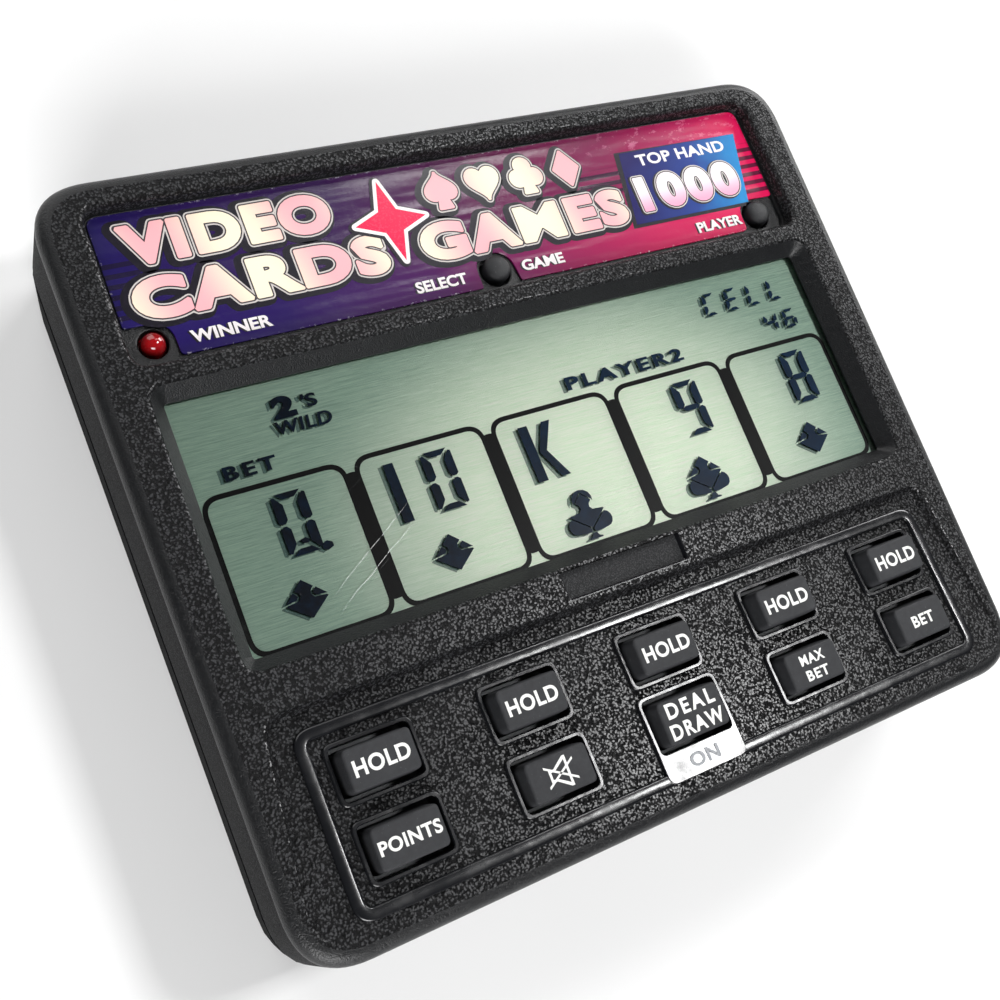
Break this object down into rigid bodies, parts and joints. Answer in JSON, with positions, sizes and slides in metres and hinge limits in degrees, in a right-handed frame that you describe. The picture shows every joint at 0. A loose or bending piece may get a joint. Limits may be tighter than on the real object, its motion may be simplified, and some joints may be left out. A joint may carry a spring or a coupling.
{
  "type": "handheld video poker machine",
  "caption": "Flat handheld electronic card game with a printed label, a wide bevelled display window, a sunken keypad of rubber keys and a sliding battery door behind.",
  "frame": {"origin": "middle of the back face, which is the lowest point with the machine lying on its back", "axes": "+Z out of the face, +X to the right of someone reading the display, +Y up the face towards the label"},
  "size_m": [0.1068, 0.0914, 0.0217],
  "materials": {
    "case_plastic": "black ABS with a coarse leather grain, smooth where it is raised round the keys",
    "key_rubber": "dark grey silicone rubber with white printed legends",
    "contact_rubber": "grey silicone sheet and layered contact strip",
    "window": "clear acrylic sheet, lightly scratched",
    "display_glass": "liquid crystal glass with a brushed grey-green reflector",
    "label": "printed film label, indigo to pink, glossy",
    "lamp": "deep red clear epoxy",
    "board": "paper phenolic board with copper tracks",
    "epoxy": "black potting epoxy",
    "white_plastic": "natural white moulding",
    "spring_steel": "nickel plated steel",
    "brass": "bare brass",
    "component_body": "dipped component bodies",
    "cell_jacket": "plastic film jacket",
    "red_insulation": "red wire insulation",
    "black_insulation": "black wire insulation"
  },
  "bodies": {
    "case": {"front_case": "case_plastic", "rear_case": "case_plastic", "label_sticker": "label", "winner_lamp": "lamp", "keypad_membrane": "contact_rubber", "display_window": "window", "lcd_front_glass": "display_glass", "lcd_rear_glass": "display_glass", "lcd_holder": "white_plastic", "zebra_strip": "contact_rubber", "circuit_board": "board", "chip_blob": "epoxy", "capacitor": "black_insulation", "resonator": "component_body", "lamp_resistor": "component_body", "piezo_disc": "brass", "board_screw_top_left": "spring_steel", "board_screw_top_right": "spring_steel", "board_screw_bottom_left": "spring_steel", "board_screw_bottom_right": "spring_steel", "case_screw_1": "spring_steel", "case_screw_2": "spring_steel", "case_screw_3": "spring_steel", "case_screw_4": "spring_steel", "cell_1": "cell_jacket", "cell_2": "cell_jacket", "contact_positive": "spring_steel", "contact_negative": "spring_steel", "contact_link": "spring_steel", "battery_lead_red": "red_insulation", "battery_lead_black": "black_insulation", "piezo_lead_red": "red_insulation", "piezo_lead_black": "black_insulation"},
    "hold_key_1": {"hold_key_1": "key_rubber"},
    "hold_key_2": {"hold_key_2": "key_rubber"},
    "hold_key_3": {"hold_key_3": "key_rubber"},
    "hold_key_4": {"hold_key_4": "key_rubber"},
    "hold_key_5": {"hold_key_5": "key_rubber"},
    "points_key": {"points_key": "key_rubber"},
    "mute_key": {"mute_key": "key_rubber"},
    "deal_key": {"deal_key": "key_rubber"},
    "max_bet_key": {"max_bet_key": "key_rubber"},
    "bet_key": {"bet_key": "key_rubber"},
    "select_game_button": {"select_game_button": "key_rubber"},
    "player_button": {"player_button": "key_rubber"},
    "battery_door": {"battery_door": "case_plastic"}
  },
  "joints": [
    {"name": "hold_1_press", "type": "slide", "parent": "case", "child": "hold_key_1", "axis": [0, 0, -1], "range_m": [0, 0.0011], "stiffness_N_per_m": 600},
    {"name": "hold_2_press", "type": "slide", "parent": "case", "child": "hold_key_2", "axis": [0, 0, -1], "range_m": [0, 0.0011], "stiffness_N_per_m": 600},
    {"name": "hold_3_press", "type": "slide", "parent": "case", "child": "hold_key_3", "axis": [0, 0, -1], "range_m": [0, 0.0011], "stiffness_N_per_m": 600},
    {"name": "hold_4_press", "type": "slide", "parent": "case", "child": "hold_key_4", "axis": [0, 0, -1], "range_m": [0, 0.0011], "stiffness_N_per_m": 600},
    {"name": "hold_5_press", "type": "slide", "parent": "case", "child": "hold_key_5", "axis": [0, 0, -1], "range_m": [0, 0.0011], "stiffness_N_per_m": 600},
    {"name": "points_press", "type": "slide", "parent": "case", "child": "points_key", "axis": [0, 0, -1], "range_m": [0, 0.0011], "stiffness_N_per_m": 600},
    {"name": "mute_press", "type": "slide", "parent": "case", "child": "mute_key", "axis": [0, 0, -1], "range_m": [0, 0.0011], "stiffness_N_per_m": 600},
    {"name": "deal_press", "type": "slide", "parent": "case", "child": "deal_key", "axis": [0, 0, -1], "range_m": [0, 0.0011], "stiffness_N_per_m": 600},
    {"name": "max_bet_press", "type": "slide", "parent": "case", "child": "max_bet_key", "axis": [0, 0, -1], "range_m": [0, 0.0011], "stiffness_N_per_m": 600},
    {"name": "bet_press", "type": "slide", "parent": "case", "child": "bet_key", "axis": [0, 0, -1], "range_m": [0, 0.0011], "stiffness_N_per_m": 600},
    {"name": "select_game_press", "type": "slide", "parent": "case", "child": "select_game_button", "axis": [0, 0, -1], "range_m": [0, 0.0006], "stiffness_N_per_m": 800},
    {"name": "player_press", "type": "slide", "parent": "case", "child": "player_button", "axis": [0, 0, -1], "range_m": [0, 0.0006], "stiffness_N_per_m": 800},
    {"name": "battery_door_slide", "type": "slide", "parent": "case", "child": "battery_door", "axis": [0, 1, 0], "range_m": [0, 0.03]}
  ]
}
